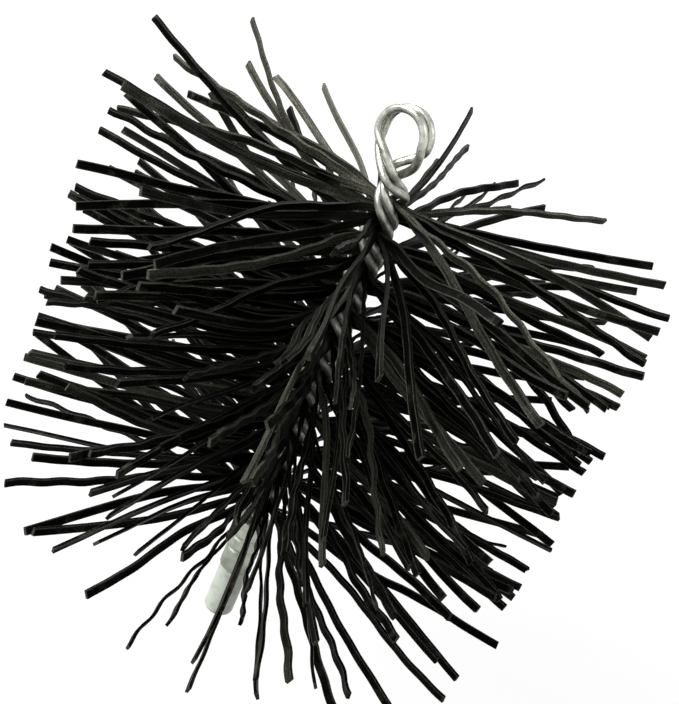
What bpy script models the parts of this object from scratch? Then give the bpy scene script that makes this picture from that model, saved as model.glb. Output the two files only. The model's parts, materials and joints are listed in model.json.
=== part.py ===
"""Round chimney sweep brush: black plastic bristle strips gripped in a twisted stem of four wires.

The stem stands along +Z with its pull ring at the top, in the XZ plane. The origin is the middle of the
thread cap's flat end, which the brush can stand on. Lengths are in metres, angles in degrees.
"""

import math
import random

import bmesh
import bpy
from mathutils import Matrix, Vector
from mathutils.bvhtree import BVHTree

# Bristles: flat strips that pass between the wires, so each gives a strand on both sides
BRUSH_RADIUS = 0.1016
BRISTLED_LENGTH = 0.132
ROW_COUNT = 42
LAYERS = 4
STRIP_WIDTH = 0.0028
STRIP_THICKNESS = 0.0011
PINCHED_THICKNESS = 0.00085
ROW_GAP = 0.0004
STRAND_CLEARANCE = 0.00015
SHORTEST_CUT_SHARE = 0.955
BEND_SHARE = 0.42
BOW_SHARE = 0.03
EARLY_RISE_SHARE = 0.3

# Lie of the strands, in degrees
FAN_PER_LAYER = 17.0
FAN_SCATTER = 7.0
RISE_SCATTER = 7.0
RISE_WITH_FAN_SHARE = 0.22
ROLL_SCATTER = 24.0
LEAST_FAN_STEP = 6.0
MOST_TRIES = 400
SEED = 11

# Strands that lie out of the common run on the brush that was photographed, as
# (row, side, layer): (fan, rise) in degrees. Rows count down from the ring.
CHOSEN_LIES = {
    (2, 1, 3): (42, -4),
    (2, 1, 1): (-4, 8),
    (2, 1, 0): (-18, 18),
    (2, -1, 3): (16, 3),
    (2, -1, 1): (-2, 6),
    (2, -1, 0): (-26, 4),
    (3, 1, 3): (32, 14),
    (3, 1, 2): (2, -5),
    (3, -1, 2): (-4, 5),
    (3, -1, 0): (-24, 3),
    (4, 1, 0): (-38, -4),
    (4, -1, 1): (-22, 6),
    (4, -1, 0): (-34, 5),
    (5, 1, 3): (40, 8),
    (5, 1, 0): (-22, -13),
    (5, -1, 2): (-2, 10),
    (5, -1, 1): (-8, 22),
    (5, -1, 0): (-22, 11),
    (6, 1, 2): (10, -1),
    (6, 1, 0): (-22, -1),
    (7, -1, 3): (28, 4),
    (8, -1, 3): (36, -8),
    (8, -1, 1): (-14, 3),
    (8, -1, 0): (-24, -2),
    (11, 1, 2): (6, 2),
    (12, 1, 3): (36, 10),
    (12, 1, 0): (-18, -8),
    (15, 1, 1): (0, 0),
    (15, -1, 1): (-14, 2),
    (24, -1, 1): (-18, 8),
    (25, 1, 0): (-18, -4),
    (29, 1, 1): (-4, 3),
    (30, 1, 0): (-26, -3),
    (32, 1, 0): (-28, -4),
    (34, -1, 2): (4, -2),
    (35, -1, 1): (0, -8),
    (36, -1, 2): (6, -9),
    (36, -1, 1): (-6, -9),
    (37, -1, 2): (24, -5),
    (38, 1, 3): (20, 0),
    (38, -1, 3): (28, -7),
    (39, 1, 2): (16, -2),
    (39, 1, 1): (2, -3),
    (39, 1, 0): (-20, -4),
    (40, 1, 3): (22, 10),
    (40, 1, 2): (10, 4),
    (40, 1, 1): (-6, -1),
    (40, 1, 0): (-24, 0),
    (41, 1, 2): (8, -1),
    (41, 1, 1): (-10, -3),
    (42, 1, 3): (32, 3),
    (42, 1, 2): (10, 3),
}

# Wires
WIRE_DIAMETER = 0.0030
TWIST_PITCH = 0.0287
WIRE_TO_STRIP_GAP = 0.00045
WIRE_TO_WIRE_GAP = 0.00012
POINTS_PER_TURN = 14
WIRE_BEVEL_SEGMENTS = 2
SETTLING_ROUNDS = 12

# Pull ring, with its two windings side by side along Y, the front one at -Y
RING_WIDTH = 0.0204
RING_TOP_ABOVE_ROWS = 0.0312
RING_LEAN = 0.0046
WINDING_STAGGER = 0.0007
WINDING_STEP_DOWN = 0.0005
RING_ARC_POINTS = 13
RISING_LEGS_ABOVE_ROWS = 0.0024
FALLING_LEGS_ABOVE_ROWS = 0.0023
ROWS_TOP_AZIMUTH = 162.0
SPAN_STEPS = 4

# Places that the wires pass between the twist and the ring: shares of the ring's width, from the top of the rows
RISING_PLACE_SHARES = {
    1: ((-0.164, 0.038, 0.256), (0.134, 0.034, 0.599), (0.200, -0.043, 0.859)),
    -1: ((-0.200, -0.040, 0.451), (0.099, 0.111, 0.791), (0.191, 0.100, 0.914)),
}
FALLING_PLACE_SHARES = {
    1: ((-0.618, -0.104, 0.883), (-0.258, -0.194, 0.623), (-0.002, -0.153, 0.382)),
    -1: ((-0.625, 0.054, 0.883), (-0.553, -0.029, 0.667), (-0.040, -0.269, 0.288)),
}

# Threaded ferrule, swaged on the four wire ends
FERRULE_DIAMETER = 0.0127
FERRULE_SLEEVE_LENGTH = 0.0235
FERRULE_BORE_CLEARANCE = 0.0003
FERRULE_BORE_DEPTH = 0.0185
FERRULE_CHAMFER = 0.0012
SWAGE_GROOVE_DEPTH = 0.0006
SWAGE_GROOVE_WIDTH = 0.0026
SWAGE_GROOVE_SHARES = (0.42, 0.66)
STUD_DIAMETER = 0.0095
STUD_CHAMFER = 0.0009
STUD_RELIEF_DEPTH = 0.0007
STUD_RELIEF_LENGTH = 0.0018
NECK_LENGTH = 0.0068

# Push-on thread cap
CAP_LENGTH = 0.0223
CAP_WALL = 0.0009
CAP_FLOOR = 0.0018
CAP_FOOT_DIAMETER = 0.0074
CAP_CORNER_POINTS = 6
CAP_MOUTH_CHAMFER = 0.0004
CAP_BORE_CLEARANCE = 0.00015
FIT_GAP = 0.0003

ROUND_SEGMENTS = 40
SHARP_ANGLE = 32.0
MERGE_SHARE = 0.01

WIRE_RADIUS = WIRE_DIAMETER / 2
STUD_RADIUS = STUD_DIAMETER / 2
FERRULE_RADIUS = FERRULE_DIAMETER / 2

# Heights, from the cap's flat end up
SHOULDER_Z = CAP_LENGTH + FIT_GAP
STUD_END_Z = CAP_FLOOR + FIT_GAP
SLEEVE_TOP_Z = SHOULDER_Z + FERRULE_SLEEVE_LENGTH
BORE_END_Z = SLEEVE_TOP_Z - FERRULE_BORE_DEPTH
ROWS_BOTTOM_Z = SLEEVE_TOP_Z + NECK_LENGTH
ROWS_TOP_Z = ROWS_BOTTOM_Z + BRISTLED_LENGTH
RING_TOP_Z = ROWS_TOP_Z + RING_TOP_ABOVE_ROWS

ROW_PITCH = BRISTLED_LENGTH / ROW_COUNT
ROW_HEIGHT = ROW_PITCH - ROW_GAP
SLOT_HALF = LAYERS * PINCHED_THICKNESS / 2


def lean_stretch(radius):
    """How much longer a twisted wire's level section is than its round one, at this distance from the axis."""
    return math.hypot(1, 2 * math.pi * radius / TWIST_PITCH)


def pair_spread(offset):
    """Half the distance between the two wires of a pair that lies offset from the axis, so that they just clear."""
    spread = WIRE_RADIUS + WIRE_TO_WIRE_GAP / 2
    for _ in range(SETTLING_ROUNDS):
        spread = (WIRE_RADIUS + WIRE_TO_WIRE_GAP / 2) * lean_stretch(math.hypot(spread, offset))
    return spread


def pair_offset():
    """How far a pair of wires lies from the middle of the slot that holds the strips."""
    offset = SLOT_HALF + WIRE_TO_STRIP_GAP + WIRE_RADIUS
    for _ in range(SETTLING_ROUNDS):
        spread = pair_spread(offset)
        radius = math.hypot(spread, offset)
        toward_slot = math.hypot(offset, lean_stretch(radius) * spread) / radius
        offset = SLOT_HALF + WIRE_TO_STRIP_GAP + WIRE_RADIUS * toward_slot
    return offset


def bundle_offset():
    """How far each wire lies from both middle planes where no strip parts the pairs."""
    offset = WIRE_RADIUS
    for _ in range(SETTLING_ROUNDS):
        offset = pair_spread(offset)
    return offset


PAIR_OFFSET = pair_offset()
PAIR_SPREAD = pair_spread(PAIR_OFFSET)
BUNDLE_OFFSET = bundle_offset()
STEM_RADIUS = math.hypot(PAIR_OFFSET, PAIR_SPREAD) + WIRE_RADIUS
BUNDLE_RADIUS = math.hypot(BUNDLE_OFFSET, BUNDLE_OFFSET) + WIRE_RADIUS
SLICE_REACH = STEM_RADIUS + WIRE_TO_STRIP_GAP


def clear_scene():
    for found in list(bpy.data.objects):
        bpy.data.objects.remove(found, do_unlink=True)


def finish(name, color, roughness, metallic=0.0, transmission=0.0):
    material = bpy.data.materials.new(name)
    material.use_nodes = True
    shader = material.node_tree.nodes["Principled BSDF"]
    shader.inputs["Base Color"].default_value = (*color, 1.0)
    shader.inputs["Roughness"].default_value = roughness
    shader.inputs["Metallic"].default_value = metallic
    shader.inputs["Transmission Weight"].default_value = transmission
    material.diffuse_color = (*color, 1.0)
    return material


def twist_azimuth(height):
    """Direction in which the slot between the wire pairs faces at this height: a left-handed twist."""
    return ROWS_TOP_AZIMUTH + 360.0 * (ROWS_TOP_Z - height) / TWIST_PITCH


def level_direction(azimuth):
    return Vector((math.cos(math.radians(azimuth)), math.sin(math.radians(azimuth)), 0.0))


def risen(level, rise):
    """A level direction tilted up by this many degrees."""
    tilt = math.radians(rise)
    return level * math.cos(tilt) + Vector((0.0, 0.0, math.sin(tilt)))


def in_twist(along_slot, across_slot, height):
    """A point given in the slot's own directions at its height."""
    turned = Matrix.Rotation(math.radians(twist_azimuth(height)), 3, "Z")
    return turned @ Vector((along_slot, across_slot, height))


def eased(share):
    share = min(max(share, 0.0), 1.0)
    return share * share * (3 - 2 * share)


def leg_points(winding, side, top):
    """One leg of a wire, from its end in the ferrule up to where it leaves the twist."""
    bottom = BORE_END_Z + WIRE_RADIUS
    steps = math.ceil((top - bottom) / TWIST_PITCH * POINTS_PER_TURN)
    points = []
    for step in range(steps + 1):
        height = bottom + (top - bottom) * step / steps
        opened = eased((height - SLEEVE_TOP_Z - WIRE_RADIUS) / (NECK_LENGTH - WIRE_DIAMETER))
        along = BUNDLE_OFFSET + (PAIR_SPREAD - BUNDLE_OFFSET) * opened
        across = BUNDLE_OFFSET + (PAIR_OFFSET - BUNDLE_OFFSET) * opened
        points.append(in_twist(winding * along, side * across, height))
    return points


def ring_points(winding):
    """The winding of one wire round the eye, from its right side over the top to its left side."""
    arc_radius = RING_WIDTH / 2 - WIRE_RADIUS
    level = -winding * (WIRE_RADIUS + WIRE_TO_WIRE_GAP / 2)
    centre = Vector(
        (
            -RING_LEAN - winding * WINDING_STAGGER / 2,
            level,
            RING_TOP_Z - WIRE_RADIUS - arc_radius - winding * WINDING_STEP_DOWN / 2,
        )
    )
    points = []
    for step in range(RING_ARC_POINTS):
        turn = math.pi * step / (RING_ARC_POINTS - 1)
        points.append(centre + arc_radius * Vector((math.cos(turn), 0.0, math.sin(turn))))
    return points


def span(before, start, end, after):
    """Points on a smooth curve from start to end, which it leaves out. The points beyond them set its ways."""
    knots = [0.0]
    for here, there in ((before, start), (start, end), (end, after)):
        knots.append(knots[-1] + math.sqrt((there - here).length))
    t0, t1, t2, t3 = knots
    points = []
    for step in range(SPAN_STEPS):
        t = t1 + (t2 - t1) * step / SPAN_STEPS
        first = before.lerp(start, (t - t0) / (t1 - t0))
        second = start.lerp(end, (t - t1) / (t2 - t1))
        third = end.lerp(after, (t - t2) / (t3 - t2))
        earlier = first.lerp(second, (t - t0) / (t2 - t0))
        later = second.lerp(third, (t - t1) / (t3 - t1))
        points.append(earlier.lerp(later, (t - t1) / (t2 - t1)))
    return points


def guided(start, place_shares, end):
    """Points from one run of points to the next, through the places between them."""
    places = [Vector(shares) * RING_WIDTH + Vector((0.0, 0.0, ROWS_TOP_Z)) for shares in place_shares]
    way = start[-2:] + places + end[:2]
    points = []
    for first in range(len(way) - 3):
        points += span(*way[first : first + 4])
    return points[1:]


def wire_route(winding):
    """A folded wire: up one leg, round the eye and down the other leg."""
    rising = leg_points(winding, 1, ROWS_TOP_Z + RISING_LEGS_ABOVE_ROWS)
    arc = ring_points(winding)
    falling = leg_points(winding, -1, ROWS_TOP_Z + FALLING_LEGS_ABOVE_ROWS)[::-1]
    into_arc = guided(rising, RISING_PLACE_SHARES[winding], arc)
    out_of_arc = guided(arc, FALLING_PLACE_SHARES[winding], falling)
    return rising + into_arc + arc + out_of_arc + falling


def tube(name, points, radius, material):
    curve = bpy.data.curves.new(name, "CURVE")
    curve.dimensions = "3D"
    curve.bevel_depth = radius
    curve.bevel_resolution = WIRE_BEVEL_SEGMENTS
    curve.use_fill_caps = True
    spline = curve.splines.new("POLY")
    spline.points.add(len(points) - 1)
    for knot, point in zip(spline.points, points):
        knot.co = point.to_4d()
    spline.use_smooth = True
    made = bpy.data.objects.new(name, curve)
    bpy.context.collection.objects.link(made)
    made.data.materials.append(material)
    return made


def turned(name, profile, material):
    """A solid turned round Z from a closed outline of (radius, height) points that starts and ends on the axis."""
    bm = bmesh.new()
    corners = [bm.verts.new((radius, 0.0, height)) for radius, height in profile]
    edges = [bm.edges.new(pair) for pair in zip(corners, corners[1:])]
    bmesh.ops.spin(
        bm,
        geom=corners + edges,
        cent=(0.0, 0.0, 0.0),
        axis=(0.0, 0.0, 1.0),
        angle=2 * math.pi,
        steps=ROUND_SEGMENTS,
        use_merge=True,
    )
    bmesh.ops.remove_doubles(bm, verts=bm.verts, dist=FIT_GAP * MERGE_SHARE)
    bmesh.ops.recalc_face_normals(bm, faces=bm.faces)
    return as_object(name, bm, material)


def as_object(name, bm, material):
    mesh = bpy.data.meshes.new(name)
    bm.to_mesh(mesh)
    bm.free()
    mesh.shade_smooth()
    mesh.set_sharp_from_angle(angle=math.radians(SHARP_ANGLE))
    made = bpy.data.objects.new(name, mesh)
    bpy.context.collection.objects.link(made)
    mesh.materials.append(material)
    return made


def threaded_ferrule(material):
    """Sleeve with a bore for the wire ends, two swage grooves, and the stud that a sweep's rod screws on."""
    bore_radius = BUNDLE_RADIUS + FERRULE_BORE_CLEARANCE
    outline = [
        (0.0, STUD_END_Z),
        (STUD_RADIUS - STUD_CHAMFER, STUD_END_Z),
        (STUD_RADIUS, STUD_END_Z + STUD_CHAMFER),
        (STUD_RADIUS, SHOULDER_Z - STUD_RELIEF_LENGTH),
        (STUD_RADIUS - STUD_RELIEF_DEPTH, SHOULDER_Z - STUD_RELIEF_LENGTH + STUD_RELIEF_DEPTH),
        (STUD_RADIUS - STUD_RELIEF_DEPTH, SHOULDER_Z),
        (FERRULE_RADIUS - FIT_GAP, SHOULDER_Z),
        (FERRULE_RADIUS, SHOULDER_Z + FIT_GAP),
    ]
    for share in SWAGE_GROOVE_SHARES:
        middle = SHOULDER_Z + share * FERRULE_SLEEVE_LENGTH
        half = SWAGE_GROOVE_WIDTH / 2
        outline += [
            (FERRULE_RADIUS, middle - half),
            (FERRULE_RADIUS - SWAGE_GROOVE_DEPTH, middle - half / 2),
            (FERRULE_RADIUS - SWAGE_GROOVE_DEPTH, middle + half / 2),
            (FERRULE_RADIUS, middle + half),
        ]
    outline += [
        (FERRULE_RADIUS, SLEEVE_TOP_Z - FERRULE_CHAMFER),
        (FERRULE_RADIUS - FERRULE_CHAMFER, SLEEVE_TOP_Z),
        (bore_radius, SLEEVE_TOP_Z),
        (bore_radius, BORE_END_Z),
        (0.0, BORE_END_Z),
    ]
    return turned("threaded_ferrule", outline, material)


def thread_cap(material):
    """Cup with a rounded end that covers the stud. Its origin is on the line that it is pulled off along."""
    inner = STUD_RADIUS + CAP_BORE_CLEARANCE
    outer = inner + CAP_WALL
    foot = CAP_FOOT_DIAMETER / 2
    corner = outer - foot
    outline = [(0.0, 0.0)]
    for step in range(CAP_CORNER_POINTS + 1):
        turn = math.pi / 2 * step / CAP_CORNER_POINTS
        outline.append((foot + corner * math.sin(turn), corner * (1 - math.cos(turn))))
    outline += [
        (outer, CAP_LENGTH - CAP_MOUTH_CHAMFER),
        (outer - CAP_MOUTH_CHAMFER, CAP_LENGTH),
        (inner, CAP_LENGTH),
        (inner, CAP_FLOOR),
        (0.0, CAP_FLOOR),
    ]
    return turned("thread_cap", outline, material)


class Strand:
    """Half of a bristle strip: where it leaves the stem, how it lies, and its corners at its bend and its tip."""

    def __init__(self, row, side, layer, fan, rise, roll, cut, bow):
        self.row = row
        self.side = side
        self.layer = layer
        height = ROWS_TOP_Z - (row + 1 / 2) * ROW_PITCH
        across = (layer - (LAYERS - 1) / 2) * PINCHED_THICKNESS
        outward = twist_azimuth(height) + (0.0 if side > 0 else 180.0)
        self.root = in_twist(side * SLICE_REACH, across, height)
        level = level_direction(outward + side * fan)
        lean = side * fan * RISE_WITH_FAN_SHARE
        leaving = risen(level, lean + (rise - lean) * EARLY_RISE_SHARE)
        length = cut * BRUSH_RADIUS - SLICE_REACH
        self.fan = fan
        self.tip = self.root + risen(level, rise) * length
        bend = self.root + leaving * BEND_SHARE * length
        self.way = (self.tip - bend).normalized()
        sideways = Vector((0.0, 0.0, 1.0)).cross(self.way).normalized()
        upward = self.way.cross(sideways)
        self.bend = bend + sideways * bow * length
        turn = Matrix.Rotation(math.radians(roll), 3, self.way)
        self.wide = turn @ upward
        self.thin = turn @ sideways * side

    def corner(self, centre, up, over, spare=0.0):
        """Corner of the strip at this point: up and over are +1 or -1 along its width and its thickness."""
        return (
            centre
            + self.wide * up * (STRIP_WIDTH / 2 + spare)
            + self.thin * over * (STRIP_THICKNESS / 2 + spare)
        )

    def outline_tree(self):
        """The strand's faces with some room round them, for finding what it would touch."""
        height = ROWS_TOP_Z - (self.row + 1 / 2) * ROW_PITCH
        across = (self.layer - (LAYERS - 1) / 2) * PINCHED_THICKNESS
        around = ((-1, -1), (-1, 1), (1, 1), (1, -1))
        points = [
            in_twist(
                self.side * SLICE_REACH, across + over * PINCHED_THICKNESS / 2, height + up * ROW_HEIGHT / 2
            )
            for up, over in around
        ]
        for centre in (self.bend, self.tip):
            points += [self.corner(centre, up, over, STRAND_CLEARANCE) for up, over in around]
        faces = [(8, 9, 10, 11)]
        for first in (0, 4):
            for k in range(4):
                after = (k + 1) % 4
                faces.append((first + k, first + after, first + 4 + after, first + 4 + k))
        return BVHTree.FromPolygons(points, faces)


def chosen_lie(row, side, layer):
    return CHOSEN_LIES.get((row + 1, side, layer))


def draw_strand(dice, row, side, layer, least_fan):
    """A strand with its chosen lie, or else with one drawn at random round its layer's part of the fan."""
    chosen = chosen_lie(row, side, layer)
    if chosen:
        fan, rise = chosen
    else:
        place = layer - (LAYERS - 1) / 2
        fan = place * FAN_PER_LAYER + dice.uniform(-FAN_SCATTER, FAN_SCATTER)
        for above in range(layer + 1, LAYERS):
            limit = chosen_lie(row, side, above)
            if limit:
                fan = min(fan, limit[0] - LEAST_FAN_STEP * (above - layer))
        fan = max(fan, least_fan)
        rise = side * fan * RISE_WITH_FAN_SHARE + dice.gauss(0.0, RISE_SCATTER)
    roll = dice.uniform(-ROLL_SCATTER, ROLL_SCATTER)
    cut = dice.uniform(SHORTEST_CUT_SHARE, 1.0)
    bow = dice.uniform(-BOW_SHARE, BOW_SHARE)
    return Strand(row, side, layer, fan, rise, roll, cut, bow)


def lay_strands():
    """All strands, the chosen ones first. One that would touch a strand of another row is drawn again."""
    places = [(row, side, layer) for row in range(ROW_COUNT) for side in (1, -1) for layer in range(LAYERS)]
    places.sort(key=lambda place: chosen_lie(*place) is None)
    laid = {}
    for row, side, layer in places:
        below = laid.get((row, side, layer - 1))
        least_fan = below[0].fan + LEAST_FAN_STEP if below else -math.inf
        dice = random.Random(f"{SEED}/{row}/{side}/{layer}")
        for _ in range(MOST_TRIES):
            strand = draw_strand(dice, row, side, layer, least_fan)
            tree = strand.outline_tree()
            near = (
                found
                for place, (other, found) in laid.items()
                if place[0] != row and other.way.dot(strand.way) > 0
            )
            if not any(tree.overlap(found) for found in near):
                break
        else:
            print(f"No clear way for row {row + 1}, side {side}, layer {layer}")
        laid[row, side, layer] = (strand, tree)
    return [strand for strand, _ in laid.values()]


def bristle_row(name, row, strands, material):
    """The strips of one row: their packed middles between the wires, and a strand on each end of each."""
    height = ROWS_TOP_Z - (row + 1 / 2) * ROW_PITCH
    bm = bmesh.new()
    comb = []
    for line in range(LAYERS + 1):
        across = (line - LAYERS / 2) * PINCHED_THICKNESS
        comb.append([bm.verts.new((-SLICE_REACH, across, height + up * ROW_HEIGHT / 2)) for up in (-1, 1)])
    cells = [bm.faces.new((a[0], a[1], b[1], b[0])) for a, b in zip(comb, comb[1:])]
    far = bmesh.ops.extrude_face_region(bm, geom=cells)["geom"]
    far_corners = [found for found in far if isinstance(found, bmesh.types.BMVert)]
    bmesh.ops.translate(bm, verts=far_corners, vec=(2 * SLICE_REACH, 0.0, 0.0))
    cells = [found for found in bm.faces if abs(abs(found.calc_center_median().x) - SLICE_REACH) < ROW_GAP]
    packed = list(bm.verts)

    ends = bmesh.ops.extrude_discrete_faces(bm, faces=cells)["faces"]
    by_place = {(strand.side, strand.layer): strand for strand in strands}
    grown = []
    for end in ends:
        middle = end.calc_center_median()
        side = 1 if middle.x > 0 else -1
        layer = round(middle.y / PINCHED_THICKNESS + (LAYERS - 1) / 2)
        strand = by_place[side, layer]
        signs = [(1 if v.co.z > middle.z else -1, 1 if v.co.y > middle.y else -1) for v in end.verts]
        for vert, (up, over) in zip(end.verts, signs):
            vert.co = strand.corner(strand.bend, up, over)
        grown.append((end, strand))
    for end, strand in grown:
        tip = bmesh.ops.extrude_discrete_faces(bm, faces=[end])["faces"][0]
        bmesh.ops.translate(bm, verts=tip.verts, vec=strand.tip - strand.bend)
    for vert in packed:
        vert.co = in_twist(*vert.co)
    bmesh.ops.recalc_face_normals(bm, faces=bm.faces)
    return as_object(name, bm, material)


def main():
    clear_scene()
    galvanised = finish("galvanised_wire", (0.42, 0.43, 0.40), 0.38, metallic=1.0)
    zinc = finish("zinc_plated_steel", (0.50, 0.50, 0.46), 0.35, metallic=1.0)
    bristle = finish("black_bristle_plastic", (0.012, 0.012, 0.010), 0.45)
    cap = finish("milky_cap_plastic", (0.72, 0.76, 0.72), 0.35, transmission=0.3)

    for name, winding in (("pull_ring_wire_front", 1), ("pull_ring_wire_back", -1)):
        tube(name, wire_route(winding), WIRE_RADIUS, galvanised)
    threaded_ferrule(zinc)
    thread_cap(cap)
    strands = lay_strands()
    for row in range(ROW_COUNT):
        mine = [strand for strand in strands if strand.row == row]
        bristle_row(f"bristle_row_{row + 1:02d}", row, mine, bristle)


main()
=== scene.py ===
"""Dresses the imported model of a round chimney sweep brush.

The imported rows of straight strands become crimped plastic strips, each gripped by its middle in the
twisted stem. The two folded wires are swept again along their own middle lines, with a galvanised
finish. The ferrule gets its screw thread, and the cap its milky plastic. Lengths are in metres.
"""

from __future__ import annotations

import json
import logging
import math
import random
from collections.abc import Iterator
from contextlib import contextmanager
from dataclasses import dataclass, field
from enum import Enum
from typing import NamedTuple

import bmesh
import bpy
import numpy as np
from bpy.types import Material, Mesh, Node, NodeOutputs, Object
from bpy.types import NodeSocket as Socket
from mathutils import Matrix, Vector

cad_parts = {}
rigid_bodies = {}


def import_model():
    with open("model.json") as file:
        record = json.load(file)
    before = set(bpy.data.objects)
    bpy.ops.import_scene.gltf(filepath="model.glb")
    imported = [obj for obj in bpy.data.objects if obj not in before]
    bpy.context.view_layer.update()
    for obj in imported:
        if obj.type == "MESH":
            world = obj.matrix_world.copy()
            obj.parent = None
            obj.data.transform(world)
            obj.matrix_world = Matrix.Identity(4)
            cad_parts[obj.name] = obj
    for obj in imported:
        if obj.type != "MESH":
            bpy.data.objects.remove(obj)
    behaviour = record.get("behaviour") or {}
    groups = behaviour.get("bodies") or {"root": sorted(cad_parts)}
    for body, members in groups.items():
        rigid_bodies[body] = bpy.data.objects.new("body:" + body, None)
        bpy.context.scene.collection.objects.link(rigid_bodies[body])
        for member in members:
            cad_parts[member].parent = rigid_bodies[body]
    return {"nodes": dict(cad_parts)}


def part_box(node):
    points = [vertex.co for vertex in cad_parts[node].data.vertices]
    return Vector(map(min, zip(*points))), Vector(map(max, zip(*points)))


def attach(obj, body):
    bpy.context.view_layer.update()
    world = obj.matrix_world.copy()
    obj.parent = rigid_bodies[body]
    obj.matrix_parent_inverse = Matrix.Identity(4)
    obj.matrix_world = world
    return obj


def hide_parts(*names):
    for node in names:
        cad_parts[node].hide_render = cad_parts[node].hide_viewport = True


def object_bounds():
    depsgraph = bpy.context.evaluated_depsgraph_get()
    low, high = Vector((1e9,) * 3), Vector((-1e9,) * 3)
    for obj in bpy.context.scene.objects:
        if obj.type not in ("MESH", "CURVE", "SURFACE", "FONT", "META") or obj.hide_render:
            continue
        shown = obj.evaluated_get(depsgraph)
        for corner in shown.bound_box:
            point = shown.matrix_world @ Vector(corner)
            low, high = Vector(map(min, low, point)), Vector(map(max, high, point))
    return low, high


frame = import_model()
CAD_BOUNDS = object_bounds()

LOG = logging.getLogger("sweep_brush")
Colour = tuple[float, float, float]
Span = tuple[float, float]
Ramp = tuple[Span, Span]
Names = tuple[str, ...]
Inputs = dict[str | int, object]

MERGE = 1e-5
"""Vertices closer together than this are one."""
FACING = 0.7
"""A face looks along an axis when its normal has more than this along it."""
FLAT = 0.999
"""Two faces lie in one plane when their normals agree this closely."""
NODE_STEP = 200
"""How far apart the nodes stand in the editor."""
FALLING: Span = (1.0, 0.0)
"""The new range of a mask that fades as its value grows."""
UPRIGHT = np.array([0.0, 0.0, 1.0])
PALE_STRANDS = {(4, 2, 0): 1.04, (4, 3, 0): 1.0, (5, 2, 1): 0.95, (5, 1, 1): 0.93, (2, 3, 0): 0.97}
"""The tones of the strands that stand out pale in the photograph, by row, place across the slot and end."""


def deselect_all() -> None:
    """Leaves nothing selected, so that an operator acts only on what is chosen next."""
    for found in bpy.context.view_layer.objects:
        found.select_set(False)


def make_active(piece: Object) -> None:
    """Selects one object alone.

    Args:
        piece: The object that the next operator works on.
    """
    deselect_all()
    piece.select_set(True)
    bpy.context.view_layer.objects.active = piece


def new_object(name: str, data: bpy.types.ID) -> Object:
    """Puts a new object in the scene.

    Args:
        name: Its name.
        data: Its mesh or curve.

    Returns:
        The object.
    """
    made = bpy.data.objects.new(name, data)
    bpy.context.collection.objects.link(made)
    return made


def joined(pieces: list[Object]) -> Object:
    """Joins pieces into the first of them.

    Args:
        pieces: The pieces.

    Returns:
        The first piece, which now holds them all.
    """
    make_active(pieces[0])
    for piece in pieces:
        piece.select_set(True)
    bpy.ops.object.join()
    return pieces[0]


@contextmanager
def editing(piece: Object) -> Iterator[None]:
    """Opens the whole of a piece in edit mode, and turns its faces outward before it closes.

    Args:
        piece: The piece to edit.
    """
    make_active(piece)
    bpy.ops.object.mode_set(mode="EDIT")
    bpy.ops.mesh.select_all(action="SELECT")
    yield
    bpy.ops.mesh.select_all(action="SELECT")
    bpy.ops.mesh.normals_make_consistent(inside=False)
    bpy.ops.object.mode_set(mode="OBJECT")


def smooth_by_angle(piece: Object, degrees: float) -> None:
    """Shades a piece smoothly, apart from the edges that are sharper than an angle in degrees."""
    make_active(piece)
    bpy.ops.object.shade_smooth_by_angle(angle=math.radians(degrees))


def hand_over(piece: Object, body: str, nodes: list[str], material: Material) -> None:
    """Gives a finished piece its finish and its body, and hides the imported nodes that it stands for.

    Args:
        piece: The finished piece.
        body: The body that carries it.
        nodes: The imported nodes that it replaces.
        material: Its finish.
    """
    piece.data.materials.clear()
    piece.data.materials.append(material)
    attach(piece, body)
    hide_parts(*nodes)
    LOG.info("%s: %d faces, rides on %s", piece.name, len(piece.data.polygons), body)


def between(at: np.ndarray, along: np.ndarray, rows: np.ndarray) -> np.ndarray:
    """Vectors at some distances, on the straight runs between those given at others."""
    return np.stack([np.interp(at, along, rows[:, axis]) for axis in range(3)], axis=1)


def rounded_chain(corners: np.ndarray, reaches: tuple[float, ...], at: np.ndarray) -> np.ndarray:
    """Points on a chain of straight runs whose corners are rounded off.

    Args:
        corners: The chain's points, one a row.
        reaches: How far each inner corner's rounding reaches to both sides.
        at: Distances along the chain.

    Returns:
        The points at those distances, one a row.
    """
    runs = np.linalg.norm(np.diff(corners, axis=0), axis=1)
    along = np.concatenate([[0.0], np.cumsum(runs)])
    found = between(at, along, corners)
    for corner, reach in enumerate(reaches, start=1):
        before = (corners[corner] - corners[corner - 1]) / runs[corner - 1]
        after = (corners[corner + 1] - corners[corner]) / runs[corner]
        left = np.clip(reach - np.abs(at - along[corner]), 0.0, None)
        found += (after - before) * (left**2 / (4 * reach))[:, None]
    return found


def eased(share: np.ndarray) -> np.ndarray:
    """A smooth step from 0 to 1, for values that are first held to that range."""
    held = np.clip(share, 0.0, 1.0)
    return held * held * (3 - 2 * held)


def unit_rows(rows: np.ndarray) -> np.ndarray:
    """The same directions, one a row, each of length 1."""
    return rows / np.linalg.norm(rows, axis=1, keepdims=True)


def swung(one: np.ndarray | Vector, other: np.ndarray | Vector, angle: np.ndarray | float) -> tuple:
    """Turns one direction toward the other by an angle in radians, and the other away from it."""
    cosine, sine = np.cos(angle), np.sin(angle)
    return one * cosine + other * sine, other * cosine - one * sine


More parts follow.
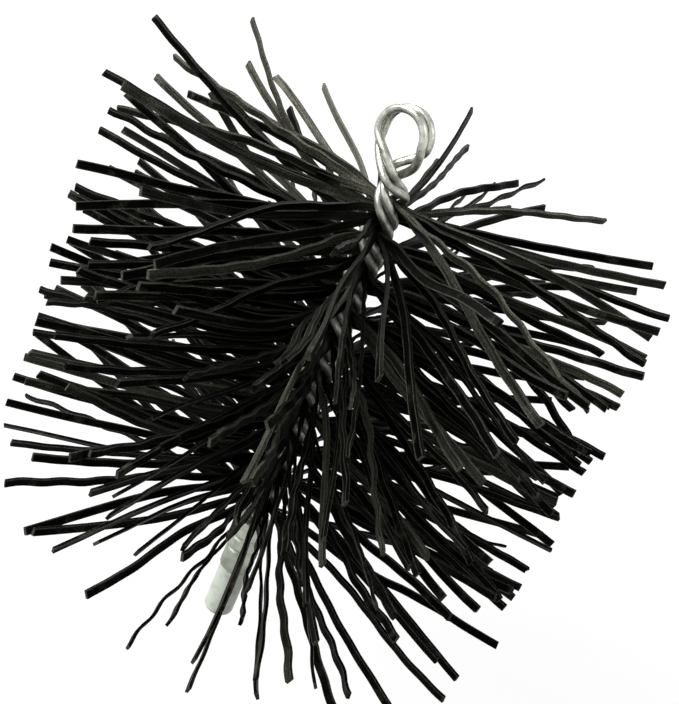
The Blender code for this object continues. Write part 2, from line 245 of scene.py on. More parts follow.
class NodeTree:
    """Adds nodes to a material or a group, from left to right."""

    def __init__(self, tree: bpy.types.NodeTree) -> None:
        """Starts at the left edge of a tree."""
        self.tree = tree
        self.column = 0

    def fill(self, node: Node, inputs: Inputs) -> NodeOutputs:
        """Sets a node's inputs, and joins those that come from a socket.

        Args:
            node: The node.
            inputs: A socket or a value for each input, by its name or number.

        Returns:
            The node's outputs.
        """
        for name, value in inputs.items():
            if isinstance(value, Socket):
                self.tree.links.new(value, node.inputs[name])
            else:
                node.inputs[name].default_value = value
        return node.outputs

    def add(self, kind: str, inputs: Inputs | None = None, **settings: object) -> NodeOutputs:
        """Adds one node.

        Args:
            kind: The node's type name.
            inputs: A socket or a value for each input that doesn't stay as it is.
            settings: Its properties, by name.

        Returns:
            The node's outputs.
        """
        node = self.tree.nodes.new(kind)
        for name, value in settings.items():
            setattr(node, name, value)
        node.location = (self.column * NODE_STEP, 0)
        self.column += 1
        return self.fill(node, inputs or {})

    def mix(self, share: Socket, low: Colour | Socket, high: Colour) -> Socket:
        """Blends two colours by a mask.

        Args:
            share: The mask.
            low: The colour at 0, itself or as a socket.
            high: The colour at 1.

        Returns:
            The blended colour.
        """
        low = (*low, 1.0) if isinstance(low, tuple) else low
        inputs = {"A": low, "B": (*high, 1.0), "Factor": share}
        return self.add("ShaderNodeMix", inputs, data_type="RGBA")["Result"]

    def ranged(self, value: Socket, old: Span = (0.0, 1.0), new: Span = (0.0, 1.0)) -> Socket:
        """Moves a value from its old range to a new one, and holds it there."""
        inputs = {"Value": value, "From Min": old[0], "From Max": old[1], "To Min": new[0], "To Max": new[1]}
        return self.add("ShaderNodeMapRange", inputs)["Result"]

    def math(self, operation: str, first: Socket, second: Socket | float) -> Socket:
        """One sum on two values, by the Math node's name for it."""
        return self.add("ShaderNodeMath", {0: first, 1: second}, operation=operation)["Value"]

    def times(self, first: Socket, second: Socket | float) -> Socket:
        """The product of two values."""
        return self.math("MULTIPLY", first, second)

    def plus(self, first: Socket, second: Socket | float) -> Socket:
        """The sum of two values."""
        return self.math("ADD", first, second)

    def axis(self, vector: Socket, name: str) -> Socket:
        """One part of a vector, by its axis's name."""
        return self.add("ShaderNodeSeparateXYZ", {"Vector": vector})[name]

    def noise(self, vector: Socket, scale: Socket, detail: float, roughness: float = 0.5) -> Socket:
        """Noise in three dimensions, with so many finer layers of such a strength."""
        inputs = {"Vector": vector, "Scale": scale, "Detail": detail, "Roughness": roughness}
        return self.add("ShaderNodeTexNoise", inputs, noise_dimensions="3D")["Fac"]

    def bump(self, height: Socket, relief: Span, **below: Socket) -> Socket:
        """Raises the surface by a height. Relief says how much of it shows, and how high 1 stands."""
        inputs = {"Height": height, "Strength": relief[0], "Distance": relief[1], **below}
        return self.add("ShaderNodeBump", inputs)["Normal"]

    def group(self, shared: bpy.types.NodeTree, *values: Socket | float) -> NodeOutputs:
        """Puts a shared effect in a material, with its inputs in their order, the coordinates first."""
        return self.add("ShaderNodeGroup", dict(enumerate(values)), node_tree=shared)

    def seen(self) -> Socket:
        """1 for what the camera sees, itself, mirrored or through a piece, and 0 for light on the brush."""
        rays = self.add("ShaderNodeLightPath")
        return self.plus(self.plus(rays["Is Camera Ray"], rays["Is Glossy Ray"]), rays["Is Transmission Ray"])


def new_group(name: str, inputs: Names, outputs: Names) -> tuple[NodeTree, NodeOutputs, Node]:
    """Starts a node group that reads a Vector and plain values, and gives plain values.

    Args:
        name: The group's name.
        inputs: The names of the values that it reads.
        outputs: The names of the values that it gives.

    Returns:
        The group's tree, what comes into it, and its output node.
    """
    group = bpy.data.node_groups.new(name, "ShaderNodeTree")
    group.interface.new_socket("Vector", in_out="INPUT", socket_type="NodeSocketVector")
    for way, titles in (("INPUT", inputs), ("OUTPUT", outputs)):
        for title in titles:
            group.interface.new_socket(title, in_out=way, socket_type="NodeSocketFloat")
    nodes = NodeTree(group)
    return nodes, nodes.add("NodeGroupInput"), group.nodes.new("NodeGroupOutput")


@dataclass
class SurfaceEffects:
    """The effects that several finishes share, each a node group built once."""

    line_detail: float = 3.0
    line_contrast: Span = (0.36, 0.64)
    patch_detail: float = 4.0
    patch_roughness: float = 0.62
    patch_edge: Span = (0.9, 1.15)
    grain_detail: float = 2.0
    grain_contrast: Span = (0.3, 0.7)

    def __post_init__(self) -> None:
        """Builds the groups."""
        self.streaks = self.build_streaks()
        self.mottle = self.build_mottle()

    def build_streaks(self) -> bpy.types.NodeTree:
        """Fine lines along a drawn wire or an extruded strip.

        Returns:
            The group, with Lines and Height as its outputs.
        """
        nodes, given, made = new_group("drawn_streaks", ("Fineness", "Relief"), ("Lines", "Height"))
        noise = nodes.noise(given["Vector"], given["Fineness"], self.line_detail)
        lines = nodes.ranged(noise, self.line_contrast)
        nodes.fill(made, {"Lines": lines, "Height": nodes.times(lines, given["Relief"])})
        return nodes.tree

    def build_mottle(self) -> bpy.types.NodeTree:
        """Soft patches with a ragged edge: spangle, soot, dust or rust.

        Returns:
            The group, with Mask and Grain as its outputs.
        """
        nodes, given, made = new_group("ragged_patches", ("Size", "Grains", "Cover"), ("Mask", "Grain"))
        broad = nodes.noise(given["Vector"], given["Size"], self.patch_detail, self.patch_roughness)
        mask = nodes.ranged(nodes.plus(broad, given["Cover"]), self.patch_edge)
        fine = nodes.noise(given["Vector"], given["Grains"], self.grain_detail)
        nodes.fill(made, {"Mask": mask, "Grain": nodes.ranged(fine, self.grain_contrast)})
        return nodes.tree


class Patches(NamedTuple):
    """Ragged patches of one finish.

    Attributes:
        size: How many of them there are to the metre.
        grains: How many grains there are to the metre.
        cover: How far they spread.
    """

    size: float
    grains: float
    cover: float


def start_material(name: str) -> tuple[Material, NodeTree, Node]:
    """Starts a material.

    Args:
        name: Its name.

    Returns:
        The material, its tree and its Principled node.
    """
    material = bpy.data.materials.new(name)
    material.use_nodes = True
    return material, NodeTree(material.node_tree), material.node_tree.nodes["Principled BSDF"]


@dataclass(frozen=True)
class BristlePlastic:
    """Extruded plastic: dense black, lined along its length and dusty, with painted highlights along its
    edges, a painted sheen on upward faces near the top and painted shade toward the roots.
    """

    name: str = "black_bristle_plastic"
    deep: Colour = (0.0008, 0.0009, 0.0006)
    worn: Colour = (0.031, 0.0305, 0.0243)
    # The pale colour of dust, and also of the painted sheen on upward faces near the top.
    dust: Colour = (0.180, 0.178, 0.142)
    cut: Colour = (0.050, 0.048, 0.039)
    edge: Colour = (0.170, 0.170, 0.140)
    specular: float = 0.016
    roughness: Span = (0.36, 0.56)
    line_stretch: tuple[float, float, float] = (0.4, 3.6, 1.0)
    line_relief: float = 0.7
    line_power: float = 4.0
    line_wear: Span = (0.05, 1.7)
    patches: Patches = Patches(130.0, 2600.0, 0.36)
    tone_power: float = 3.5
    tone_wear: float = 0.45
    crest_wear: float = 0.5
    narrow_wear: float = 0.2
    # Wear grows from root to tip. This also paints the shade deep in the brush near the stem.
    outward_wear_and_root_shade: Ramp = ((0.1, 0.75), (0.2, 1.0))
    # The painted edge highlight: its band in from each long edge, and its share.
    edge_highlight_band: Ramp = ((0.0, 0.13), FALLING)
    edge_highlight_share: float = 0.75
    # The painted top sheen's heights and upward slopes, then the power of the palest strips' dust, and the
    # lines and share of both.
    top_sheen_heights: Span = (0.150, 0.195)
    top_sheen_slopes: Span = (0.1, 0.9)
    dusty_power: float = 12.0
    dust_and_sheen_lines: Span = (0.3, 1.2)
    dust_and_sheen_share: float = 0.8
    tip_dust: Ramp = ((0.55, 1.0), (0.0, 0.6))
    cut_end: Ramp = ((0.9975, 1.0), (0.0, 0.8))
    bead_width: Ramp = ((0.06, 0.20), FALLING)
    bead: Span = (0.8, 0.00022)
    grain: Span = (0.6, 0.00006)

    def material(self, effects: SurfaceEffects) -> Material:
        """Builds the finish on the strips' own UV map and attributes.

        Args:
            effects: The shared node groups.

        Returns:
            The material.
        """
        material, nodes, shader = start_material(self.name)
        places = nodes.add("ShaderNodeUVMap", uv_map="strip_map")["UV"]
        stretched = nodes.add("ShaderNodeMapping", {"Vector": places, "Scale": self.line_stretch})["Vector"]
        drawn = nodes.group(effects.streaks, stretched, 1.0, self.line_relief)
        where = nodes.add("ShaderNodeTexCoord")["Object"]
        patches = nodes.group(effects.mottle, where, *self.patches)
        tone, reach, crest = (
            nodes.add("ShaderNodeAttribute", attribute_name=f"strip_{name}")["Fac"]
            for name in ("tone", "reach", "crest")
        )

        # Round the strip a side is one unit long, and every second side is narrow.
        around = nodes.axis(places, "Y")
        from_edge = nodes.math("PINGPONG", around, 0.5)
        on_narrow = nodes.math("GREATER_THAN", nodes.math("MODULO", around, 2.0), 1.0)
        # Wear fades toward the roots. It is partly real wear and partly painted shade deep inside the brush.
        outward = nodes.ranged(reach, *self.outward_wear_and_root_shade)
        wear = nodes.times(nodes.math("POWER", tone, self.tone_power), self.tone_wear)
        wear = nodes.plus(wear, nodes.times(nodes.times(crest, patches["Grain"]), self.crest_wear))
        wear = nodes.plus(wear, nodes.times(on_narrow, self.narrow_wear))
        lines = nodes.math("POWER", drawn["Lines"], self.line_power)
        wear = nodes.times(nodes.times(wear, nodes.ranged(lines, new=self.line_wear)), outward)
        colour = nodes.mix(wear, self.deep, self.worn)
        # Painted highlight: a pale band along each long edge of the strip, where a rounded edge would catch
        # the light. It also fades toward the roots.
        painted_edge_highlight = nodes.times(nodes.ranged(from_edge, *self.edge_highlight_band), patches["Grain"])
        painted_edge_highlight = nodes.times(nodes.times(painted_edge_highlight, outward), self.edge_highlight_share)
        colour = nodes.mix(painted_edge_highlight, colour, self.edge)

        # Painted sheen: faces that look up near the top of the brush are paled, as if lit from above. The
        # palest strips also get real dust in the same colour.
        upward = nodes.axis(nodes.add("ShaderNodeNewGeometry")["Normal"], "Z")
        upward = nodes.ranged(upward, self.top_sheen_slopes)
        painted_top_sheen = nodes.times(nodes.ranged(nodes.axis(where, "Z"), self.top_sheen_heights), upward)
        pale = nodes.plus(nodes.math("POWER", tone, self.dusty_power), nodes.times(painted_top_sheen, tone))
        pale = nodes.times(pale, nodes.ranged(drawn["Lines"], new=self.dust_and_sheen_lines))
        pale = nodes.times(nodes.times(pale, patches["Grain"]), self.dust_and_sheen_share)
        colour = nodes.mix(pale, colour, self.dust)
        at_tip = nodes.ranged(reach, *self.tip_dust)
        at_tip = nodes.times(nodes.times(patches["Mask"], patches["Grain"]), at_tip)
        colour = nodes.mix(at_tip, colour, self.dust)
        colour = nodes.mix(nodes.ranged(reach, *self.cut_end), colour, self.cut)

        beads = nodes.bump(nodes.ranged(from_edge, *self.bead_width), self.bead)
        inputs = {
            "Base Color": colour,
            "Specular IOR Level": self.specular,
            "Roughness": nodes.ranged(drawn["Lines"], new=self.roughness),
            "Normal": nodes.bump(drawn["Height"], self.grain, Normal=beads),
        }
        nodes.fill(shader, inputs)
        return material


@dataclass(frozen=True)
class PlatedSteel:
    """Zinc on steel: a dull, cloudy metal that darkens where soot or rust has gathered."""

    name: str
    bright: Colour
    dull: Colour
    stain: Colour
    roughness: Span
    stain_heights: Span
    most_stain: float
    stain_patches: Patches = Patches(240.0, 3000.0, 0.56)
    stain_shares: Span = (0.35, 1.0)
    stain_metal: Span = (1.0, 0.35)
    stain_roughness: float = 0.3
    spangle: Patches = Patches(190.0, 5200.0, 0.53)
    lines: float = 1400.0
    line_relief: float = 0.6
    relief: Span = (0.35, 0.00006)

    def material(self, effects: SurfaceEffects) -> Material:
        """Builds the finish on object coordinates.

        Args:
            effects: The shared node groups.

        Returns:
            The material.
        """
        material, nodes, shader = start_material(self.name)
        where = nodes.add("ShaderNodeTexCoord")["Object"]
        spangle = nodes.group(effects.mottle, where, *self.spangle)
        stained = nodes.group(effects.mottle, where, *self.stain_patches)
        drawn = nodes.group(effects.streaks, where, self.lines, self.line_relief)
        height = nodes.ranged(nodes.axis(where, "Z"), self.stain_heights, (self.most_stain, 0.0))
        stain = nodes.times(height, nodes.ranged(stained["Mask"], new=self.stain_shares))
        rough = nodes.ranged(spangle["Grain"], new=self.roughness)
        inputs = {
            "Base Color": nodes.mix(stain, nodes.mix(spangle["Mask"], self.dull, self.bright), self.stain),
            "Metallic": nodes.ranged(stain, new=self.stain_metal),
            "Roughness": nodes.plus(rough, nodes.times(stain, self.stain_roughness)),
            "Normal": nodes.bump(drawn["Height"], self.relief),
        }
        nodes.fill(shader, inputs)
        return material


@dataclass(frozen=True)
class MilkyPlastic:
    """Soft moulded polyethylene: pale, satin, and a little see-through."""

    name: str = "milky_cap_plastic"
    clean: Colour = (0.47, 0.515, 0.445)
    handled: Colour = (0.21, 0.23, 0.185)
    soil: Patches = Patches(170.0, 2200.0, 0.42)
    most_soil: float = 0.7
    roughness: Span = (0.30, 0.46)
    milkiness: float = 0.08
    milk_depth: float = 0.002
    relief: Span = (0.15, 0.00005)

    def material(self, effects: SurfaceEffects) -> Material:
        """Builds the finish on object coordinates.

        Args:
            effects: The shared node groups.

        Returns:
            The material.
        """
        material, nodes, shader = start_material(self.name)
        where = nodes.add("ShaderNodeTexCoord")["Object"]
        soil = nodes.group(effects.mottle, where, *self.soil)
        inputs = {
            "Base Color": nodes.mix(nodes.times(soil["Mask"], self.most_soil), self.clean, self.handled),
            "Roughness": nodes.ranged(soil["Grain"], new=self.roughness),
            "Subsurface Weight": self.milkiness,
            "Subsurface Scale": self.milk_depth,
            "Normal": nodes.bump(soil["Grain"], self.relief),
        }
        nodes.fill(shader, inputs)
        return material


class Crimp(Enum):
    """How strongly a strip is crimped: the share of all strips, and the depth range of its waves."""

    DEEP = (0.34, 0.00030, 0.00052)
    LIGHT = (0.36, 0.00012, 0.00026)
    FAINT = (0.30, 0.00002, 0.00008)

    @property
    def share(self) -> float:
        """Share of all strips."""
        return self.value[0]

    @property
    def depths(self) -> Span:
        """Least and greatest depth of a wave."""
        return self.value[1:]


class StripLie(NamedTuple):
    """Where one strip lies, from tip to tip.

    Attributes:
        corners: Tip, bend, root, root, bend and tip, one a row.
        faces: The way that the strip's width faces at each of them.
    """

    corners: np.ndarray
    faces: np.ndarray


@dataclass
class BristleRows:
    """The strips of all rows, each modelled from one straight strip and laid through the stem."""

    width: float = 0.0028
    thickness: float = 0.0011
    length: float = 0.2032
    pinched_share: float = 0.78
    narrowed_share: float = 0.91
    waved_sections: int = 92
    plain_sections: int = 34
    wave_lengths: Span = (0.0115, 0.0170)
    wave_drift: Span = (0.2, 0.9)
    wave_fade: Span = (0.0, 0.5)
    drift_slow: float = 2.0
    fade_slow: float = 3.0
    crest_from: float = 0.75
    wander_lengths: Span = (0.055, 0.11)
    wander_depths: Span = (0.0003, 0.0011)
    most_turn: float = 30.0
    grip_half: float = 0.008
    ease_out: float = 0.013
    untwist_reach: float = 0.024
    corner_reaches: tuple[float, ...] = (0.014, 0.005, 0.005, 0.014)
    cut_slant: float = 0.00035
    burr: float = 0.0002
    burr_shares: Span = (0.86, 0.94)
    crisp_angle: float = 38.0
    root_limit: float = 0.015
    bend_limit: float = 0.07
    level_digits: int = 6
    map_scale: float = 100.0
    map_sides: int = 4
    most_shift: float = 1000.0
    seed: int = 7
    row_seeds: int = 100
    masters: dict[int, Object] = field(default_factory=dict)

    def model_strip(self, sections: int) -> Object:
        """Models one straight strip with crisp long edges and slightly drawn-in cut ends.

        Args:
            sections: How many lengths it is divided into.

        Returns:
            The strip, along X, with its width upright.
        """
        deselect_all()
        bpy.ops.mesh.primitive_cube_add(size=1.0)
        strip = bpy.context.active_object
        strip.name = f"straight_strip_{sections}"
        bpy.ops.transform.resize(value=(self.length - 2 * self.burr, self.thickness, self.width))
        bpy.ops.object.transform_apply(location=True, rotation=True, scale=True)
        bpy.ops.object.mode_set(mode="EDIT")
        bpy.ops.mesh.select_mode(type="EDGE")
        bpy.ops.mesh.select_all(action="DESELECT")
        bpy.ops.object.mode_set(mode="OBJECT")
        for edge in strip.data.edges:
            ends = [strip.data.vertices[index].co for index in edge.vertices]
            edge.select = abs(ends[0].x - ends[1].x) > self.width
        bpy.ops.object.mode_set(mode="EDIT")
        bpy.ops.mesh.subdivide(number_cuts=sections - 1)
        bpy.ops.mesh.select_mode(type="FACE")
        for way in (1, -1):
            bpy.ops.mesh.select_all(action="DESELECT")
            bpy.ops.object.mode_set(mode="OBJECT")
            for face in strip.data.polygons:
                face.select = face.normal.x * way > FACING
            bpy.ops.object.mode_set(mode="EDIT")
            bpy.ops.mesh.extrude_region_move(TRANSFORM_OT_translate={"value": (self.burr * way, 0.0, 0.0)})
            bpy.ops.transform.resize(value=(1.0, *self.burr_shares))
        bpy.ops.object.mode_set(mode="OBJECT")
        smooth_by_angle(strip, self.crisp_angle)
        self.map_strip(strip.data)
        return strip

    def map_strip(self, mesh: Mesh) -> None:
        """Gives the straight strip a UV map: centimetres along it, and one unit for each side round it.

        The long edges are at whole numbers: the broad sides follow the even ones, the narrow sides the odd.

        Args:
            mesh: The straight strip's mesh.
        """
        layer = mesh.uv_layers.new(name="strip_map")
        for face in mesh.polygons:
            narrow = abs(face.normal.z) > FACING
            far_side = face.normal.z < 0 if narrow else face.normal.y < 0
            for index in face.loop_indices:
                place = mesh.vertices[mesh.loops[index].vertex_index].co
                across = place.y / self.thickness if narrow else place.z / self.width
                layer.data[index].uv = (place.x * self.map_scale, across + 0.5 + narrow + 2 * far_side)

    def read_row(self, node: Object) -> list[StripLie]:
        """Reads where a packed row's strands lie.

        Args:
            node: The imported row.

        Returns:
            One lie for each strip, across the slot in order.
        """
        bm = bmesh.new()
        bm.from_mesh(node.data)
        bmesh.ops.remove_doubles(bm, verts=bm.verts, dist=MERGE)
        bm.verts.index_update()

        def zone(vert: bmesh.types.BMVert) -> int:
            """0 at the stem, 1 at a bend and 2 at a tip."""
            radius = math.hypot(vert.co.x, vert.co.y)
            return int(radius > self.root_limit) + int(radius > self.bend_limit)

        def linked(verts: set, wanted: int) -> set:
            """The neighbours of some vertices that lie in the wanted zone."""
            around = {edge.other_vert(vert) for vert in verts for edge in vert.link_edges}
            return {vert for vert in around if zone(vert) == wanted}

        strands, done = [], set()
        for vert in bm.verts:
            if zone(vert) < 2 or vert in done:
                continue
            tip = {vert}
            while linked(tip, 2) - tip:
                tip |= linked(tip, 2)
            done |= tip
            bend = linked(tip, 1)
            strands.append([self.section(part) for part in (tip, bend, linked(bend, 0))])
        bm.free()
        return self.paired(strands)

    @staticmethod
    def section(verts: set) -> tuple[np.ndarray, np.ndarray]:
        """Middle of a four-cornered section and the way that its width faces.

        Args:
            verts: Its four corners.

        Returns:
            The middle, and the width's direction with an upward part.
        """
        corners = np.array([vert.co[:] for vert in sorted(verts, key=lambda vert: vert.index)])
        away = corners[1:] - corners[0]
        face = away[np.argsort(np.linalg.norm(away, axis=1))[1]]
        return corners.mean(axis=0), face / np.linalg.norm(face) * (1 if face[2] > 0 else -1)

    @staticmethod
    def paired(strands: list) -> list[StripLie]:
        """Pairs the strands that belong to one strip.

        Args:
            strands: For each strand its tip, bend and root.

        Returns:
            One lie for each strip.
        """
        roots = np.array([strand[2][0] for strand in strands])[:, :2]
        slot = np.linalg.svd(roots - roots.mean(axis=0))[2][0]
        slot = slot * np.sign(slot[np.argmax(np.abs(slot))])
        across = np.array([-slot[1], slot[0]])
        sides = []
        for way in (1, -1):
            mine = [index for index, root in enumerate(roots) if way * (root @ slot) > 0]
            sides.append([strands[index] for index in sorted(mine, key=lambda index: roots[index] @ across)])
        lies = []
        for one, other in zip(*sides):
            middles, faces = zip(*one, *other[::-1])
            lies.append(StripLie(np.array(middles), np.array(faces)))
        return lies

    def lay_strip(self, lie: StripLie, dice: random.Random, number: tuple[int, int]) -> Object:
        """Copies the straight strip and lays it: bent, crimped, turned a little and cut by hand.

        Args:
            lie: Where it lies.
            dice: The strip's own source of chance.
            number: Its row and its place across the slot.

        Returns:
            The laid strip.
        """
        crimp = dice.choices(list(Crimp), weights=[kind.share for kind in Crimp])[0]
        master = self.masters[self.plain_sections if crimp is Crimp.FAINT else self.waved_sections]
        strip = new_object("strip", master.data.copy())
        mesh = strip.data
        places = np.empty(len(mesh.vertices) * 3, np.float32)
        mesh.vertices.foreach_get("co", places)
        along_x, over, up = places.reshape(-1, 3).astype(float).T
        levels, section = np.unique(np.round(along_x, self.level_digits), return_inverse=True)

        runs = np.linalg.norm(np.diff(lie.corners, axis=0), axis=1)
        roots = runs[:2].sum(), runs[:3].sum()
        middle = roots[1] - runs[2] / 2
        at = (levels - levels[0]) / (levels[-1] - levels[0]) * runs.sum()
        out = np.abs(at - middle)
        free = eased((out - self.grip_half) / self.ease_out)
        centre = rounded_chain(lie.corners, self.corner_reaches, at)
        ahead = unit_rows(np.gradient(centre, at, axis=0))
        twisted = [roots[0], middle, roots[1]]
        keys = [0.0, roots[0] - self.untwist_reach, *twisted, roots[1] + self.untwist_reach, runs.sum()]
        near, far = lie.faces[0], lie.faces[-1]
        wide = between(at, keys, np.array([near, near, lie.faces[2], UPRIGHT, lie.faces[3], far, far]))
        wide = unit_rows(wide - ahead * (wide * ahead).sum(axis=1, keepdims=True))
        turn = np.where(at < middle, self.turn(dice), self.turn(dice)) * free * out / out.max()
        wide, thin = swung(wide, np.cross(wide, ahead), turn[:, None])
        crests = self.wave(at, dice, self.wave_lengths)
        wave = dice.uniform(*crimp.depths) * crests
        sway = dice.uniform(*self.wander_depths) * self.wave(at, dice, self.wander_lengths)
        lift = dice.uniform(*self.wander_depths) * self.wave(at, dice, self.wander_lengths)
        centre = centre + thin * ((wave + sway) * free)[:, None] + wide * (lift * free)[:, None]

        gripped = 1 - free
        thinned = 1 - (1 - self.pinched_share) * gripped
        narrowed = 1 - (1 - self.narrowed_share) * gripped
        laid = centre[section]
        laid = laid + thin[section] * (over * thinned[section])[:, None]
        laid = laid + wide[section] * (up * narrowed[section])[:, None]
        for end in (0, len(levels) - 1):
            slant = dice.uniform(-1, 1) * up / self.width + dice.uniform(-1, 1) * over / self.thickness
            cut = (section == end) * slant * self.cut_slant
            laid = laid + ahead[section] * cut[:, None]
        mesh.vertices.foreach_set("co", laid.astype(np.float32).ravel())

        drawn = dice.random()
        tones = [PALE_STRANDS.get((*number, end), drawn) for end in (0, 1)]
        for name, values in (
            ("strip_tone", np.where(at < middle, *tones)),
            ("strip_crest", np.clip((np.abs(crests) - self.crest_from) / (1 - self.crest_from), 0, 1)),
            ("strip_reach", out / out.max()),
        ):
            attribute = mesh.attributes.new(name, "FLOAT", "POINT")
            attribute.data.foreach_set("value", values[section].astype(np.float32))
        shift = dice.uniform(0, self.most_shift)
        layer = mesh.uv_layers["strip_map"]
        spots = np.empty(len(mesh.loops) * 2, np.float32)
        layer.data.foreach_get("uv", spots)
        spots = spots.reshape(-1, 2) + (shift, self.map_sides * round(shift))
        layer.data.foreach_set("uv", spots.astype(np.float32).ravel())
        mesh.update()
        return strip

    def turn(self, dice: random.Random) -> float:
        """How far a strand turns about its own length by its tip, in radians."""
        return math.radians(dice.uniform(-self.most_turn, self.most_turn))

    def wave(self, at: np.ndarray, dice: random.Random, lengths: Span) -> np.ndarray:
        """An uneven wave.

        Args:
            at: Distances along the strip.
            dice: The strip's own source of chance.
            lengths: Least and greatest length of a wave.

        Returns:
            Values from -1 to 1.
        """
        length = dice.uniform(*lengths)
        drift = dice.uniform(*self.wave_drift)
        drift = drift * np.sin(at / length / self.drift_slow + dice.uniform(0, math.tau))
        fade = dice.uniform(*self.wave_fade)
        fade = fade * np.sin(at / length / self.fade_slow + dice.uniform(0, math.tau)) ** 2
        return (1 - fade) * np.sin(math.tau * at / length + drift + dice.uniform(0, math.tau))

    def build(self, material: Material) -> None:
        """Lays every row and hands it over.

        Args:
            material: The strips' finish.
        """
        for sections in (self.waved_sections, self.plain_sections):
            self.masters[sections] = self.model_strip(sections)
        rows = sorted(name for name in frame["nodes"] if name.startswith("bristle_row_"))
        for number, name in enumerate(rows, start=1):
            strips = []
            for layer, lie in enumerate(self.read_row(frame["nodes"][name])):
                dice = random.Random(self.seed + self.row_seeds * number + layer)
                strips.append(self.lay_strip(lie, dice, (number, layer)))
            row = joined(strips)
            row.name = f"crimped_strips_row_{number:02d}"
            row.data.name = row.name
            hand_over(row, "brush", [name], material)
        for master in self.masters.values():
            bpy.data.objects.remove(master, do_unlink=True)


@dataclass
class FoldedWires:
    """The two wires of the stem and its double pull ring, swept again round and smooth."""

    radius: float = 0.0015
    finer: int = 3
    roundness: int = 5
    crisp_angle: float = 50.0

    def middle_line(self, node: Object) -> np.ndarray:
        """Reads a packed wire's middle line, ring by ring from one end.

        Args:
            node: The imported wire.

        Returns:
            Points along it, one a row.
        """
        bm = bmesh.new()
        bm.from_mesh(node.data)
        bmesh.ops.remove_doubles(bm, verts=bm.verts, dist=MERGE)
        bm.normal_update()
        lowest = min(bm.verts, key=lambda vert: vert.co.z)
        waiting, cap = [min(lowest.link_faces, key=lambda face: face.normal.z)], set()
        while waiting:
            face = waiting.pop()
            cap.add(face)
            near = {other for edge in face.edges for other in edge.link_faces} - cap
            waiting += [other for other in near if other.normal.dot(face.normal) > FLAT]
        ring = {vert for face in cap for vert in face.verts}
        seen, rings = set(), []
        while ring:
            seen |= ring
            rings.append(np.array([vert.co[:] for vert in ring]).mean(axis=0))
            ring = {edge.other_vert(vert) for vert in ring for edge in vert.link_edges} - seen
        bm.free()
        return np.array(rings)

    def refined(self, points: np.ndarray) -> np.ndarray:
        """More points on a smooth line through the given ones.

        Args:
            points: The line's points, one a row.

        Returns:
            The finer line.
        """
        before = np.vstack([2 * points[0] - points[1], points[:-2]])
        after, later = points[1:], np.vstack([points[2:], 2 * points[-1] - points[-2]])
        here = points[:-1]
        finer = []
        for step in range(self.finer):
            t = step / self.finer
            twice = 2 * here + (after - before) * t + (2 * before - 5 * here + 4 * after - later) * t**2
            finer.append((twice + (3 * here - before - 3 * after + later) * t**3) / 2)
        mixed = np.stack(finer, axis=1).reshape(-1, 3)
        return np.vstack([mixed, points[-1]])

    def sweep(self, name: str, points: np.ndarray) -> Object:
        """Sweeps a round wire along a line.

        Args:
            name: The wire's name.
            points: The line's points, one a row.

        Returns:
            The wire as a mesh.
        """
        curve = bpy.data.curves.new(name, "CURVE")
        curve.dimensions = "3D"
        curve.bevel_depth = self.radius
        curve.bevel_resolution = self.roundness
        curve.use_fill_caps = True
        curve.twist_mode = "MINIMUM"
        spline = curve.splines.new("POLY")
        spline.points.add(len(points) - 1)
        spline.points.foreach_set("co", np.hstack([points, np.ones((len(points), 1))]).ravel())
        make_active(new_object(name, curve))
        bpy.ops.object.convert(target="MESH")
        wire = bpy.context.active_object
        with editing(wire):
            bpy.ops.mesh.remove_doubles(threshold=MERGE)
        smooth_by_angle(wire, self.crisp_angle)
        return wire

    def build(self, material: Material) -> None:
        """Sweeps both wires and hands them over.

        Args:
            material: The wires' finish.
        """
        for side in ("front", "back"):
            node = f"pull_ring_wire_{side}"
            line = self.refined(self.middle_line(frame["nodes"][node]))
            wire = self.sweep(f"galvanised_wire_{side}", line)
            hand_over(wire, "brush", [node], material)


@dataclass
class Turned:
    """A piece spun round the stem's axis from an outline."""

    segments: int = 56

    def spin(self, name: str, outline: list[Span]) -> Object:
        """Spins an outline into a closed shell.

        Args:
            name: The piece's name.
            outline: (radius, height) points from axis to axis.

        Returns:
            The piece.
        """
        mesh = bpy.data.meshes.new(name)
        points = [(radius, 0.0, height) for radius, height in outline]
        mesh.from_pydata(points, [(index, index + 1) for index in range(len(points) - 1)], [])
        piece = new_object(name, mesh)
        with editing(piece):
            bpy.ops.mesh.spin(steps=self.segments, angle=math.tau, center=(0, 0, 0), axis=(0, 0, 1))
            bpy.ops.mesh.select_all(action="SELECT")
            bpy.ops.mesh.remove_doubles(threshold=MERGE)
        return piece

    @staticmethod
    def quarter(steps: int) -> list[float]:
        """The angles of a quarter turn, from 0, in so many steps."""
        return [math.pi / 2 * step / steps for step in range(steps + 1)]


